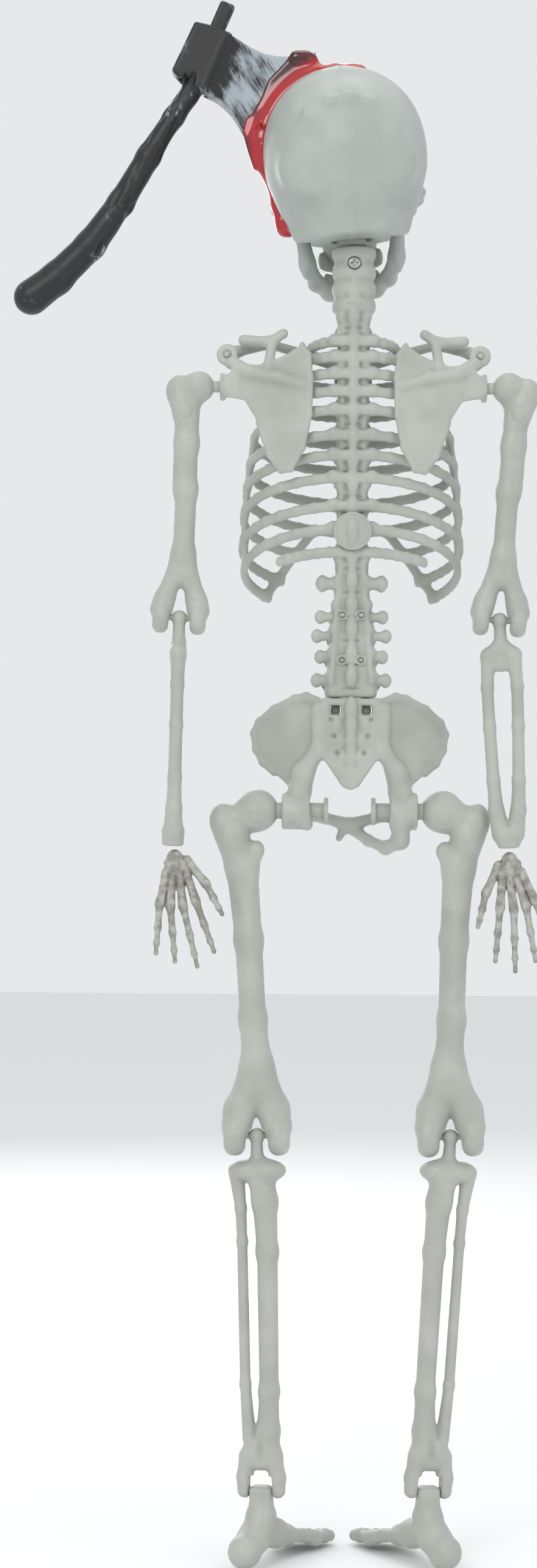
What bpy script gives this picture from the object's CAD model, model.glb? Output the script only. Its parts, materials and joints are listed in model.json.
"""Hanging skeleton with a toy axe in its skull: the visible surfaces, built round the fixed frame.

Every bone is shaped like clay on a grid: round bars, eggs and plates are blended together or cut
away, and the grid is then skinned. All sizes in the shapes are millimetres in the axes of the
body that carries the piece, x outwards from the middle, y to the back and z up.
"""

import json
import math

import bpy
import numpy as np
from mathutils import Matrix, Vector


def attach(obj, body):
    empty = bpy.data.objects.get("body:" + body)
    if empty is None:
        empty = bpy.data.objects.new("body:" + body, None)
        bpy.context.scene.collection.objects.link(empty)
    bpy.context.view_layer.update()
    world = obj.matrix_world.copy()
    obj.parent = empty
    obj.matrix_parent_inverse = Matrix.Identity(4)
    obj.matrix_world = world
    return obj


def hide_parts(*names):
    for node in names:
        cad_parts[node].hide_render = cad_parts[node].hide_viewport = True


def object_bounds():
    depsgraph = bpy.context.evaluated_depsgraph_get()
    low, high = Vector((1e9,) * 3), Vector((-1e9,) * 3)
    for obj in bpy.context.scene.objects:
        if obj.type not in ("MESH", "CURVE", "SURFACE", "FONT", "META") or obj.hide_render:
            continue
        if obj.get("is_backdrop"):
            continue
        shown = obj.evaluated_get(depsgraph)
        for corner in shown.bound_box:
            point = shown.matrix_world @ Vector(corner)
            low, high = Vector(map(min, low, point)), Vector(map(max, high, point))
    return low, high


bl_info = {
    "name": "Hanging Skeleton",
    "version": (1, 0, 0),
    "blender": (4, 5, 0),
    "location": "View3D > Sidebar > Skeleton",
    "description": "Builds the bones, axe and blood of a hanging skeleton on its jointed frame",
    "category": "Object",
}

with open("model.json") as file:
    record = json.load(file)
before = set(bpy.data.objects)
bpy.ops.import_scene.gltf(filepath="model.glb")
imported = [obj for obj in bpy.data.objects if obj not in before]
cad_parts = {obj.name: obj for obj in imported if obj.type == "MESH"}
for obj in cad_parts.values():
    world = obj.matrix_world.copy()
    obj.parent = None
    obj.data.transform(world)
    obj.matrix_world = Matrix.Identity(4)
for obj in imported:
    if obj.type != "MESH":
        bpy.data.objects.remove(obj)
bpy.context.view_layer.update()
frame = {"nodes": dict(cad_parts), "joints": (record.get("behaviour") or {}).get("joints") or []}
JOINTS = {joint["name"]: joint for joint in frame["joints"]}
LEFT, RIGHT = 1, -1
SIDES = (("left", LEFT), ("right", RIGHT))
MM = 0.001
SEAM = 0.12         # half the fine gap between a bone's two halves, mm
TIE_Z = -131.5      # height of the tie that holds the chest to the spine, mm
ELBOW_Z = -139      # elbow and knee, below the shoulder and the hip, mm
KNEE_Z = -196
PIN_BORE = 2.0      # radius of the bores for the knuckle pins, mm
WING_TURN = 37      # degrees that a wing of the hip bone slants back
HAND_TURN = 14      # degrees that the left hand hangs outwards
SHIN_TURN = 12      # degrees that the shins are turned outwards
FOOT_TURN = 28      # degrees that the feet are turned outwards


# ---- clay: forms are (distance function, low corner, high corner) ----
def rod(a, b, ra, rb=None):
    """A round bar from a to b with a ball at each end."""
    a, b = np.array(a, float), np.array(b, float)
    rb = ra if rb is None else rb
    way = b - a
    length2 = max(float(way @ way), 1e-9)

    def distance(x, y, z):
        t = np.clip(
            ((x - a[0]) * way[0] + (y - a[1]) * way[1] + (z - a[2]) * way[2]) / length2, 0, 1
        )
        return np.sqrt(
            (x - a[0] - t * way[0]) ** 2
            + (y - a[1] - t * way[1]) ** 2
            + (z - a[2] - t * way[2]) ** 2
        ) - (ra + (rb - ra) * t)

    r = max(ra, rb)
    return distance, np.minimum(a, b) - r, np.maximum(a, b) + r


def egg(p, radii, turn=None):
    """An ellipsoid, turned by a 3 by 3 matrix if one is given."""
    p, radii = np.array(p, float), np.array(radii, float)

    def distance(x, y, z):
        x, y, z = x - p[0], y - p[1], z - p[2]
        if turn is not None:
            x, y, z = (
                turn[0][0] * x + turn[1][0] * y + turn[2][0] * z,
                turn[0][1] * x + turn[1][1] * y + turn[2][1] * z,
                turn[0][2] * x + turn[1][2] * y + turn[2][2] * z,
            )
        k0 = np.sqrt((x / radii[0]) ** 2 + (y / radii[1]) ** 2 + (z / radii[2]) ** 2)
        k1 = np.sqrt(
            (x / radii[0] ** 2) ** 2 + (y / radii[1] ** 2) ** 2 + (z / radii[2] ** 2) ** 2
        )
        return k0 * (k0 - 1) / np.maximum(k1, 1e-6)

    reach = radii if turn is None else np.full(3, radii.max())
    return distance, p - reach, p + reach


def block(low, high, rounding=0.0):
    """A box between two corners."""
    low, high = np.array(low, float), np.array(high, float)
    centre, half = (low + high) / 2, (high - low) / 2 - rounding

    def distance(x, y, z):
        dx, dy, dz = (
            abs(x - centre[0]) - half[0],
            abs(y - centre[1]) - half[1],
            abs(z - centre[2]) - half[2],
        )
        outside = np.sqrt(
            np.maximum(dx, 0) ** 2 + np.maximum(dy, 0) ** 2 + np.maximum(dz, 0) ** 2
        )
        return outside + np.minimum(np.maximum(np.maximum(dx, dy), dz), 0) - rounding

    return distance, low, high


def drum(axis, p, reach, r, rounding=0.6):
    """A short cylinder along x, y or z (0, 1 or 2), reach to each side of p."""
    p = np.array(p, float)

    def distance(x, y, z):
        parts = [x - p[0], y - p[1], z - p[2]]
        along = abs(parts.pop(axis)) - reach + rounding
        across = np.sqrt(parts[0] ** 2 + parts[1] ** 2) - r + rounding
        outside = np.sqrt(np.maximum(along, 0) ** 2 + np.maximum(across, 0) ** 2)
        return outside + np.minimum(np.maximum(along, across), 0) - rounding

    half = np.full(3, float(r))
    half[axis] = reach
    return distance, p - half, p + half


def outline_distance(u, v, corners):
    """Signed distance in a plane to a closed outline, negative inside."""
    best = np.full(np.broadcast(u, v).shape, 1e9)
    inside = np.zeros(best.shape, bool)
    for (u1, v1), (u2, v2) in zip(corners, corners[1:] + corners[:1]):
        du, dv = u2 - u1, v2 - v1
        t = np.clip(((u - u1) * du + (v - v1) * dv) / max(du * du + dv * dv, 1e-9), 0, 1)
        best = np.minimum(best, (u - u1 - t * du) ** 2 + (v - v1 - t * dv) ** 2)
        if dv:
            inside ^= ((v1 > v) != (v2 > v)) & (u < du * (v - v1) / dv + u1)
    return np.where(inside, -1, 1) * np.sqrt(best)


def plate(corners, middle, half, rounding=1.0, reach=12):
    """A plate with an outline in x and z. middle and half give its y centre and half
    thickness, as numbers or as functions of x and z."""
    points = np.array(corners, float)

    def distance(x, y, z):
        centre = middle(x, z) if callable(middle) else middle
        thick = half(x, z) if callable(half) else half
        side = outline_distance(x, z, corners) + rounding
        face = abs(y - centre) - thick + rounding
        outside = np.sqrt(np.maximum(side, 0) ** 2 + np.maximum(face, 0) ** 2)
        return outside + np.minimum(np.maximum(side, face), 0) - rounding

    y = 0 if callable(middle) else middle
    low = [points[:, 0].min(), y - reach, points[:, 1].min()]
    high = [points[:, 0].max(), y + reach, points[:, 1].max()]
    return distance, np.array(low), np.array(high)


def mirrored(form):
    """The same form on the other side of the middle."""
    distance, low, high = form
    return (
        lambda x, y, z: distance(-x, y, z),
        np.array([-high[0], low[1], low[2]]),
        np.array([-low[0], high[1], high[2]]),
    )


def turned(form, matrix):
    """The form placed by a 4 by 4 matrix in millimetres, without scale."""
    distance, low, high = form
    back = np.array(matrix.inverted())
    corners = np.array(
        [
            matrix @ Vector((x, y, z))
            for x in (low[0], high[0])
            for y in (low[1], high[1])
            for z in (low[2], high[2])
        ]
    )

    def placed(x, y, z):
        return distance(
            *(back[i][0] * x + back[i][1] * y + back[i][2] * z + back[i][3] for i in range(3))
        )

    return placed, corners.min(0), corners.max(0)


class Clay:
    """A grid that forms are blended into, cut from or pressed on."""

    def __init__(self, low, high, step):
        self.low, self.step = np.array(low, float), float(step)
        count = np.ceil((np.array(high, float) - self.low) / step).astype(int) + 1
        self.field = np.full(count, 8.0, np.float32)
        self.axes = [self.low[i] + step * np.arange(count[i]) for i in range(3)]

    def window(self, low, high, margin):
        cuts = []
        for i in range(3):
            first = int(np.floor((low[i] - margin - self.low[i]) / self.step))
            last = int(np.ceil((high[i] + margin - self.low[i]) / self.step)) + 1
            cuts.append(slice(max(first, 0), max(min(last, self.field.shape[i]), 0)))
        grid = (
            self.axes[0][cuts[0]][:, None, None],
            self.axes[1][cuts[1]][None, :, None],
            self.axes[2][cuts[2]][None, None, :],
        )
        return tuple(cuts), grid

    def add(self, form, blend=2.0):
        cuts, grid = self.window(form[1], form[2], blend + 3 * self.step)
        old, new = self.field[cuts], form[0](*grid)
        ease = np.maximum(blend - abs(old - new), 0) / blend
        self.field[cuts] = np.minimum(old, new) - ease * ease * blend / 4
        return self

    def both(self, form, blend=2.0):
        return self.add(form, blend).add(mirrored(form), blend)

    def chain(self, beads, blend=2.0):
        """Round bars through a list of (point, radius)."""
        for (a, ra), (b, rb) in zip(beads, beads[1:]):
            self.add(rod(a, b, ra, rb), blend)
        return self

    def cut(self, form, blend=0.6):
        cuts, grid = self.window(form[1], form[2], blend + 3 * self.step)
        old, new = self.field[cuts], -form[0](*grid)
        ease = np.maximum(blend - abs(old - new), 0) / blend
        self.field[cuts] = np.maximum(old, new) + ease * ease * blend / 4
        return self

    def keep(self, distance, blend=0.4):
        """Keeps what lies where a function of x, y and z is negative."""
        new = distance(*(a.reshape([-1 if i == k else 1 for i in range(3)])
                         for k, a in enumerate(self.axes)))
        ease = np.maximum(blend - abs(self.field - new), 0) / blend
        self.field = (np.maximum(self.field, new) + ease * ease * blend / 4).astype(np.float32)
        return self

    def press(self, low, high, depth):
        """Pushes the surface in by a function of x, y and z, or out where it is negative."""
        cuts, grid = self.window(np.array(low, float), np.array(high, float), 0)
        self.field[cuts] += depth(*grid)
        return self

    def ring(self, p, r, depth=0.5, width=0.7, reach=4):
        """A round mark pressed in a face that looks along y."""
        low = [p[0] - r - 3, p[1] - reach, p[2] - r - 3]
        high = [p[0] + r + 3, p[1] + reach, p[2] + r + 3]

        def groove(x, y, z):
            out = np.sqrt((x - p[0]) ** 2 + (z - p[2]) ** 2) - r
            return depth * np.exp(-((out / width) ** 2)) + 0 * y

        return self.press(low, high, groove)

    def copy(self):
        twin = Clay.__new__(Clay)
        twin.low, twin.step, twin.axes = self.low, self.step, self.axes
        twin.field = self.field.copy()
        return twin

    def skin(self, smooth=2):
        """Returns the points and the four-sided faces of the surface."""
        f, inside = self.field, self.field < 0
        size = np.array(f.shape) - 1
        total = np.zeros(size, np.uint8)
        corners = [(i, j, k) for i in (0, 1) for j in (0, 1) for k in (0, 1)]
        for i, j, k in corners:
            total += inside[i:size[0] + i, j:size[1] + j, k:size[2] + k]
        cells = np.argwhere((total > 0) & (total < 8))
        number = np.full(size, -1, np.int64)
        number[tuple(cells.T)] = np.arange(len(cells))
        place, hits = np.zeros((len(cells), 3)), np.zeros(len(cells))
        for a in corners:
            for axis in range(3):
                if a[axis]:
                    continue
                b = list(a)
                b[axis] = 1
                fa, fb = f[tuple((cells + a).T)], f[tuple((cells + b).T)]
                cross = (fa < 0) != (fb < 0)
                t = fa[cross] / (fa[cross] - fb[cross])
                place[cross] += np.array(a) + np.outer(t, np.array(b) - np.array(a))
                hits += cross
        points = self.low + self.step * (cells + place / hits[:, None])
        faces = []
        for axis in range(3):
            u, v = (axis + 1) % 3, (axis + 2) % 3
            near, far = [slice(1, -1)] * 3, [slice(1, -1)] * 3
            near[axis], far[axis] = slice(0, -1), slice(1, None)
            edge = np.argwhere(inside[tuple(near)] != inside[tuple(far)])
            edge[:, u] += 1
            edge[:, v] += 1
            quad = []
            for du, dv in ((-1, -1), (0, -1), (0, 0), (-1, 0)):
                at = edge.copy()
                at[:, u] += du
                at[:, v] += dv
                quad.append(number[tuple(at.T)])
            quad = np.stack(quad, 1)
            flip = ~inside[tuple(edge.T)]
            quad[flip] = quad[flip][:, ::-1]
            faces.append(quad)
        faces = np.concatenate(faces)
        for _ in range(smooth):
            points += 0.5 * (neighbour_mean(points, faces) - points)
        return points, faces


def neighbour_mean(values, faces):
    """Mean of each point's neighbours along the faces' sides."""
    count = len(values)
    a = faces.ravel()
    b = np.roll(faces, -1, axis=1).ravel()
    first, second = np.concatenate([a, b]), np.concatenate([b, a])
    weight = np.maximum(np.bincount(first, minlength=count), 1)
    if values.ndim == 1:
        return np.bincount(first, values[second], count) / weight
    return np.stack(
        [np.bincount(first, values[second, i], count) / weight for i in range(3)], 1
    )


def relief(points, faces, step):
    """How hollow (positive) or raised (negative) the surface is at each point."""
    across = np.cross(
        points[faces[:, 2]] - points[faces[:, 0]], points[faces[:, 3]] - points[faces[:, 1]]
    )
    normal = np.stack(
        [
            sum(np.bincount(faces[:, c], across[:, i], len(points)) for c in range(4))
            for i in range(3)
        ],
        1,
    )
    normal /= np.maximum(np.linalg.norm(normal, axis=1), 1e-9)[:, None]
    bend = ((neighbour_mean(points, faces) - points) * normal).sum(1) / step
    for _ in range(5):
        bend = 0.4 * bend + 0.6 * neighbour_mean(bend, faces)
    return bend


def cast(skin, name, matrix, body, nodes, slot, step=1.0, marks=None):
    """Makes a piece from a skin: placed by matrix (millimetres in, metres out)."""
    points, faces = skin
    bend = relief(points, faces, step)
    world = (np.array(matrix) @ np.c_[points * MM, np.ones(len(points))].T).T[:, :3]
    if matrix.to_3x3().determinant() < 0:
        faces = faces[:, ::-1]
    mesh = bpy.data.meshes.new(name)
    mesh.vertices.add(len(world))
    mesh.vertices.foreach_set("co", world.astype(np.float32).ravel())
    mesh.loops.add(faces.size)
    mesh.loops.foreach_set("vertex_index", faces.astype(np.int32).ravel())
    mesh.polygons.add(len(faces))
    mesh.polygons.foreach_set("loop_start", np.arange(0, faces.size, 4, dtype=np.int32))
    mesh.update(calc_edges=True)
    mesh.validate()
    mesh.shade_smooth()
    values = {"hollow": np.clip(bend * 5, 0, 1), "raised": np.clip(-bend * 5, 0, 1)}
    values.update(marks or {})
    for key, value in values.items():
        layer = mesh.attributes.new(key, "FLOAT", "POINT")
        layer.data.foreach_set("value", np.asarray(value, np.float32))
    piece = bpy.data.objects.new(name, mesh)
    bpy.context.scene.collection.objects.link(piece)
    mesh.materials.append(FINISHES[slot]())
    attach(piece, body)
    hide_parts(*nodes)
    return piece


# ---- places of the moving bodies, from the frame's joints ----
def joint_place(name):
    return Vector(JOINTS[name]["pos_m"])


def bone_matrix(top, bottom, side):
    """x outwards, y back and z up along a limb bone, from its upper joint."""
    z = (top - bottom).normalized()
    y = Vector((0, 1, 0))
    x = y.cross(z) * side
    matrix = Matrix((x, y, z)).transposed().to_4x4()
    matrix.translation = top
    return matrix


def side_matrix(side):
    return Matrix.Diagonal((side, 1, 1, 1))


def head_matrix():
    """The head's own axes: its origin is on the neck's axis, and it leans sideways."""
    across = Vector(JOINTS["jaw_open"]["axis"])
    lean = math.atan2(-across.z, across.x)
    turn = Matrix.Rotation(lean, 4, "Y")
    turn.translation = Vector((0, 0, 0.024))
    return turn


def halves(clay):
    """The skins of the back and front half of a bone, with a fine seam between them."""
    back = clay.copy().keep(lambda x, y, z: -SEAM - y + 0 * (x + z))
    front = clay.copy().keep(lambda x, y, z: y - SEAM + 0 * (x + z))
    return back.skin(), front.skin()


# ---- materials ----
def plug(tree, value, socket):
    """Links another node's output into a socket, or sets a plain value."""
    if hasattr(value, "is_linked"):
        tree.links.new(value, socket)
    elif value is not None:
        socket.default_value = value


def noise(tree, spot, scale, **values):
    node = tree.nodes.new("ShaderNodeTexNoise")
    plug(tree, spot, node.inputs["Vector"])
    plug(tree, scale, node.inputs["Scale"])
    for key, value in values.items():
        node.inputs[key].default_value = value
    return node.outputs["Fac"]


def new_group(name, inputs, outputs):
    """A shader node group with named sockets: (name, type, default) and (name, type)."""
    group = bpy.data.node_groups.new(name, "ShaderNodeTree")
    for label, kind, default in inputs:
        socket = group.interface.new_socket(label, in_out="INPUT", socket_type=kind)
        socket.default_value = default
    for label, kind in outputs:
        group.interface.new_socket(label, in_out="OUTPUT", socket_type=kind)
    put = group.nodes.new("NodeGroupInput").outputs
    return group, put, group.nodes.new("NodeGroupOutput").inputs


def math_node(tree, operation, a, b=None, clamp=False):
    node = tree.nodes.new("ShaderNodeMath")
    node.operation = operation
    node.use_clamp = clamp
    for socket, value in zip(node.inputs, (a, b)):
        plug(tree, value, socket)
    return node.outputs[0]


def mix_colour(tree, factor, a, b):
    node = tree.nodes.new("ShaderNodeMix")
    node.data_type = "RGBA"
    for index, value in ((0, factor), (6, a), (7, b)):
        plug(tree, value, node.inputs[index])
    return node.outputs[2]


def mapped(tree, value, low, high, to_low=0.0, to_high=1.0):
    node = tree.nodes.new("ShaderNodeMapRange")
    tree.links.new(value, node.inputs[0])
    for index, number in enumerate((low, high, to_low, to_high), 1):
        node.inputs[index].default_value = number
    return node.outputs[0]


def surface_mark(tree, name):
    node = tree.nodes.new("ShaderNodeAttribute")
    node.attribute_name = name
    return node.outputs["Fac"]


def build_plastic_group():
    """Clouded moulded plastic with a wash in its hollows."""
    group, put, out = new_group(
        "Moulded plastic",
        (
            ("Colour", "NodeSocketColor", (0.5, 0.5, 0.45, 1)),
            ("Cloud colour", "NodeSocketColor", (0.5, 0.5, 0.45, 1)),
            ("Cloud size", "NodeSocketFloat", 40.0),
            ("Wash colour", "NodeSocketColor", (0.1, 0.07, 0.04, 1)),
            ("Wash", "NodeSocketFloat", 0.5),
            ("Worn colour", "NodeSocketColor", (0.6, 0.6, 0.56, 1)),
            ("Roughness", "NodeSocketFloat", 0.4),
        ),
        (
            ("Colour", "NodeSocketColor"),
            ("Roughness", "NodeSocketFloat"),
            ("Height", "NodeSocketFloat"),
        ),
    )
    spot = group.nodes.new("ShaderNodeTexCoord").outputs["Object"]
    cloud = noise(group, spot, put["Cloud size"], Detail=4.0)
    fine = noise(group, spot, 900.0, Detail=3.0)
    blotch = noise(group, spot, 160.0, Detail=5.0, Roughness=0.7)
    clouded = mapped(group, cloud, 0.4, 0.62)
    colour = mix_colour(group, clouded, put["Colour"], put["Cloud colour"])
    hollow = surface_mark(group, "hollow")
    seep = math_node(group, "MULTIPLY", hollow, mapped(group, blotch, 0.3, 0.7, 0.6, 1.3))
    seep = math_node(group, "MULTIPLY", seep, put["Wash"], clamp=True)
    colour = mix_colour(group, seep, colour, put["Wash colour"])
    worn = math_node(group, "MULTIPLY", surface_mark(group, "raised"), 0.45, clamp=True)
    colour = mix_colour(group, worn, colour, put["Worn colour"])
    group.links.new(colour, out["Colour"])
    uneven = mapped(group, blotch, 0.3, 0.7, -0.07, 0.08)
    group.links.new(math_node(group, "ADD", put["Roughness"], uneven), out["Roughness"])
    height = math_node(group, "MULTIPLY", fine, 0.35)
    height = math_node(group, "ADD", height, blotch)
    group.links.new(height, out["Height"])
    return group


def build_brush_group():
    """Streaks of dry-brushed silver: more where the surface is raised."""
    group, put, out = new_group(
        "Dry brushing",
        (
            ("Across", "NodeSocketFloat", 300.0),
            ("Along", "NodeSocketFloat", 30.0),
            ("Turn", "NodeSocketFloat", 0.6),
            ("Cover", "NodeSocketFloat", 0.5),
            ("On edges", "NodeSocketFloat", 0.5),
        ),
        (("Mask", "NodeSocketFloat"), ("Height", "NodeSocketFloat")),
    )
    spot = group.nodes.new("ShaderNodeTexCoord").outputs["Object"]
    rotate = group.nodes.new("ShaderNodeVectorRotate")
    rotate.rotation_type = "Y_AXIS"
    group.links.new(spot, rotate.inputs["Vector"])
    group.links.new(put["Turn"], rotate.inputs["Angle"])
    scale = group.nodes.new("ShaderNodeCombineXYZ")
    group.links.new(put["Along"], scale.inputs[0])
    group.links.new(put["Across"], scale.inputs[1])
    group.links.new(put["Across"], scale.inputs[2])
    stretch = group.nodes.new("ShaderNodeVectorMath")
    stretch.operation = "MULTIPLY"
    group.links.new(rotate.outputs[0], stretch.inputs[0])
    group.links.new(scale.outputs[0], stretch.inputs[1])
    streak = noise(group, stretch.outputs[0], 1.0, Detail=6.0, Roughness=0.75)
    patch = noise(group, spot, 55.0, Detail=4.0)
    cover = math_node(group, "ADD", streak, put["Cover"])
    cover = math_node(group, "ADD", cover, mapped(group, patch, 0.35, 0.65, -0.16, 0.1))
    edge = math_node(group, "MULTIPLY", surface_mark(group, "raised"), put["On edges"])
    cover = math_node(group, "ADD", cover, edge)
    group.links.new(mapped(group, cover, 0.92, 1.16), out["Mask"])
    group.links.new(streak, out["Height"])
    return group


def build_blood_group():
    """Clear red resin: dark where it lies thick over the blade."""
    group, put, out = new_group(
        "Cast blood",
        (
            ("Bright", "NodeSocketColor", (0.4, 0.005, 0.008, 1)),
            ("Deep", "NodeSocketColor", (0.05, 0.001, 0.002, 1)),
            ("Cloud size", "NodeSocketFloat", 60.0),
        ),
        (("Colour", "NodeSocketColor"), ("Height", "NodeSocketFloat")),
    )
    spot = group.nodes.new("ShaderNodeTexCoord").outputs["Object"]
    cloud = noise(group, spot, put["Cloud size"], Detail=3.0)
    wave = noise(group, spot, 120.0, Detail=2.0)
    thick = surface_mark(group, "thick")
    uneven = mapped(group, cloud, 0.3, 0.7, -0.18, 0.18)
    thick = math_node(group, "ADD", thick, uneven, clamp=True)
    group.links.new(mix_colour(group, thick, put["Bright"], put["Deep"]), out["Colour"])
    group.links.new(wave, out["Height"])
    return group


def new_material(name, group_name, inputs, colour_from="Colour", bump=0.2, bump_depth=0.0004,
                 rough_from=None, **sockets):
    """A material with one group feeding its colour, and its own even values on the shader."""
    material = bpy.data.materials.new(name)
    material.use_nodes = True
    tree = material.node_tree
    shader = tree.nodes["Principled BSDF"]
    node = tree.nodes.new("ShaderNodeGroup")
    node.node_tree = bpy.data.node_groups[group_name]
    for key, value in inputs.items():
        node.inputs[key].default_value = value
    if colour_from:
        tree.links.new(node.outputs[colour_from], shader.inputs["Base Color"])
    if rough_from:
        tree.links.new(node.outputs[rough_from], shader.inputs["Roughness"])
    relief_node = tree.nodes.new("ShaderNodeBump")
    relief_node.inputs["Strength"].default_value = bump
    relief_node.inputs["Distance"].default_value = bump_depth
    tree.links.new(node.outputs["Height"], relief_node.inputs["Height"])
    tree.links.new(relief_node.outputs["Normal"], shader.inputs["Normal"])
    for key, value in sockets.items():
        shader.inputs[key.replace("_", " ")].default_value = value
    return material, tree, shader, node


def looks():
    return bpy.context.scene.skeleton_looks


def with_alpha(colour):
    return (colour[0], colour[1], colour[2], 1)


def plastic(name, colour, cloud, wash, wash_colour, roughness=0.42):
    if name in bpy.data.materials:
        return bpy.data.materials[name]
    worn = [min(c * 1.12 + 0.01, 1) for c in colour]
    material, _, shader, _ = new_material(
        name,
        "Moulded plastic",
        {
            "Colour": with_alpha(colour),
            "Cloud colour": with_alpha(cloud),
            "Wash colour": with_alpha(wash_colour),
            "Wash": wash,
            "Worn colour": with_alpha(worn),
            "Roughness": roughness,
        },
        rough_from="Roughness",
        bump=0.12,
    )
    shader.inputs["Subsurface Weight"].default_value = 0.08
    shader.inputs["Subsurface Radius"].default_value = (0.004, 0.004, 0.003)
    shader.inputs["Specular IOR Level"].default_value = 0.45
    return material


def bone_material():
    look = looks()
    return plastic("Bone plastic", look.bone, look.bone_cloud, 0.9, look.bone_shade)


def skull_material():
    look = looks()
    return plastic("Skull plastic", look.skull, look.skull_cloud, 0.6, look.bone_shade)


def hand_material():
    look = looks()
    stained = [0.55 * a + 0.45 * b for a, b in zip(look.bone, look.wash)]
    material = plastic("Washed plastic", stained, look.bone_cloud, 2.5, look.wash, 0.5)
    for node in material.node_tree.nodes:
        if node.type == "GROUP":
            node.inputs["Cloud size"].default_value = 210.0
    return material


def axe_material():
    look = looks()
    if "Brushed axe" in bpy.data.materials:
        return bpy.data.materials["Brushed axe"]
    material, tree, shader, node = new_material(
        "Brushed axe", "Dry brushing", {"Cover": 0.3, "On edges": 0.4, "Turn": 1.0},
        colour_from=None, bump=0.35, bump_depth=0.0005, Roughness=0.42,
    )
    zone = surface_mark(tree, "blade")
    more = math_node(tree, "MULTIPLY", zone, 0.3)
    tree.links.new(math_node(tree, "ADD", more, 0.3), node.inputs["Cover"])
    colour = mix_colour(
        tree, node.outputs["Mask"], with_alpha(look.axe_black), with_alpha(look.axe_silver)
    )
    tree.links.new(colour, shader.inputs["Base Color"])
    return material


def blood_material():
    look = looks()
    if "Blood resin" in bpy.data.materials:
        return bpy.data.materials["Blood resin"]
    material, _, shader, _ = new_material(
        "Blood resin", "Cast blood",
        {"Bright": with_alpha(look.blood), "Deep": with_alpha(look.blood_deep)},
        bump=0.15, bump_depth=0.0008, Roughness=0.22,
    )
    shader.inputs["Coat Weight"].default_value = 0.6
    shader.inputs["Coat Roughness"].default_value = 0.06
    return material


def steel_material():
    if "Screw steel" in bpy.data.materials:
        return bpy.data.materials["Screw steel"]
    material, tree, shader, node = new_material(
        "Screw steel", "Dry brushing", {"Cover": 0.4, "Across": 1500.0, "Along": 300.0},
        colour_from=None, bump=0.1, bump_depth=0.0001, Metallic=1.0, Roughness=0.3,
    )
    colour = mix_colour(tree, node.outputs["Mask"], (0.42, 0.42, 0.41, 1), (0.72, 0.72, 0.7, 1))
    tree.links.new(colour, shader.inputs["Base Color"])
    return material


def dress(node_name, material):
    """Gives a carried-over frame node its material."""
    piece = frame["nodes"][node_name]
    piece.data.materials.clear()
    piece.data.materials.append(material)


FINISHES = {
    "bone_plastic": bone_material,
    "skull_plastic": skull_material,
    "hand_plastic": hand_material,
    "axe_plastic": axe_material,
    "blood_resin": blood_material,
    "screw_steel": steel_material,
}


# ---- skull, jaw, axe and blood ----
SKULL_EGG = ((0, 0.5, 77), (48.3, 58.0, 47))


def on_skull(x, z, out=0.0):
    """The point on the back of the skull's egg at x and z."""
    (cx, cy, cz), (rx, ry, rz) = SKULL_EGG
    left = max(1 - ((x - cx) / rx) ** 2 - ((z - cz) / rz) ** 2, 0.01)
    return (x, cy + ry * math.sqrt(left) + out, z)


def skull_clay(step):
    clay = Clay((-54, -66, 4), (54, 64, 130), step)
    clay.add(egg(*SKULL_EGG), 3)
    clay.add(egg((0, -24, 84), (41, 32, 33)), 14)
    clay.add(egg((0, 8, 62), (46.5, 47, 40)), 10)
    clay.add(rod((0, 4, 57), (0, 6, 37), 41, 33), 10)
    clay.both(egg((28.5, 5, 31), (8, 13, 14)), 8)
    clay.cut(block((-60, -70, -20), (60, 70, 19.4)), 1.6)
    # bow of the neck muscles and the hollows above the ear bones
    bow = ((30, 74), (20, 88), (8, 95), (-4, 97), (-16, 93), (-28, 80))
    clay.chain([(on_skull(x, z, -1.6), 2.2) for x, z in bow], 6)
    clay.both(egg((24, 40, 58), (15, 9, 13)), 12)
    clay.both(egg((36, 9, 45), (4.5, 9, 8)), 8)
    clay.cut(egg((53, -20, 66), (8.5, 20, 18)), 9)
    clay.cut(egg((-53, -20, 66), (8.5, 20, 18)), 9)
    # face
    clay.both(rod((31, -44, 69), (9, -55.5, 68.5), 5), 7)
    clay.add(egg((0, -44, 30), (18, 14, 20)), 9)
    clay.both(rod((17, -50, 39), (36, -37, 42), 6, 5.2), 5)
    clay.both(rod((36, -37, 42), (43, -22, 45), 4.6, 3.2), 4)
    clay.both(rod((43, -22, 45), (44.5, -6, 47), 3, 3), 3)
    clay.both(rod((36.5, -38, 43), (34.5, -41, 66), 4.4), 5)
    clay.add(rod((0, -53, 66), (0, -58, 50), 4.4, 3.2), 5)
    for s in (1, -1):
        clay.cut(egg((s * 18.3, -57, 55.5), (13.4, 22, 12)), 4)
        clay.cut(egg((s * 3.6, -60, 37), (4.8, 14, 8.6)), 2)
    clay.cut(egg((0, -60, 43), (4, 13, 8)), 2)
    clay.cut(egg((0, -2, 76), (44.5, 53, 43)), 1)
    clay.cut(drum(2, (0, 0, 16), 14, 11.5), 1)
    for s in (1, -1):
        clay.cut(block((min(s * 24, s * 38.5), -29, 8), (max(s * 24, s * 38.5), 9, 41), 3), 1)
        # upper teeth
        for k in range(7):
            a = math.radians(6 + 11.5 * k)
            p = (s * 18 * math.sin(a), -37 - 19.5 * math.cos(a), 13.5 + 0.25 * k)
            clay.add(egg(p, (2.7, 3.0, 5.6)), 1.2)
    # raised seam between the two shells, broken in two places
    def seam(x, y, z):
        height = np.where((z > 97) | (z < 42), 0.85, 0.45)
        return -height * np.exp(-((x / 0.8) ** 2)) * (y > -30)

    clay.press((-3, -30, 18), (3, 64, 130), seam)
    return clay


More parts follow.
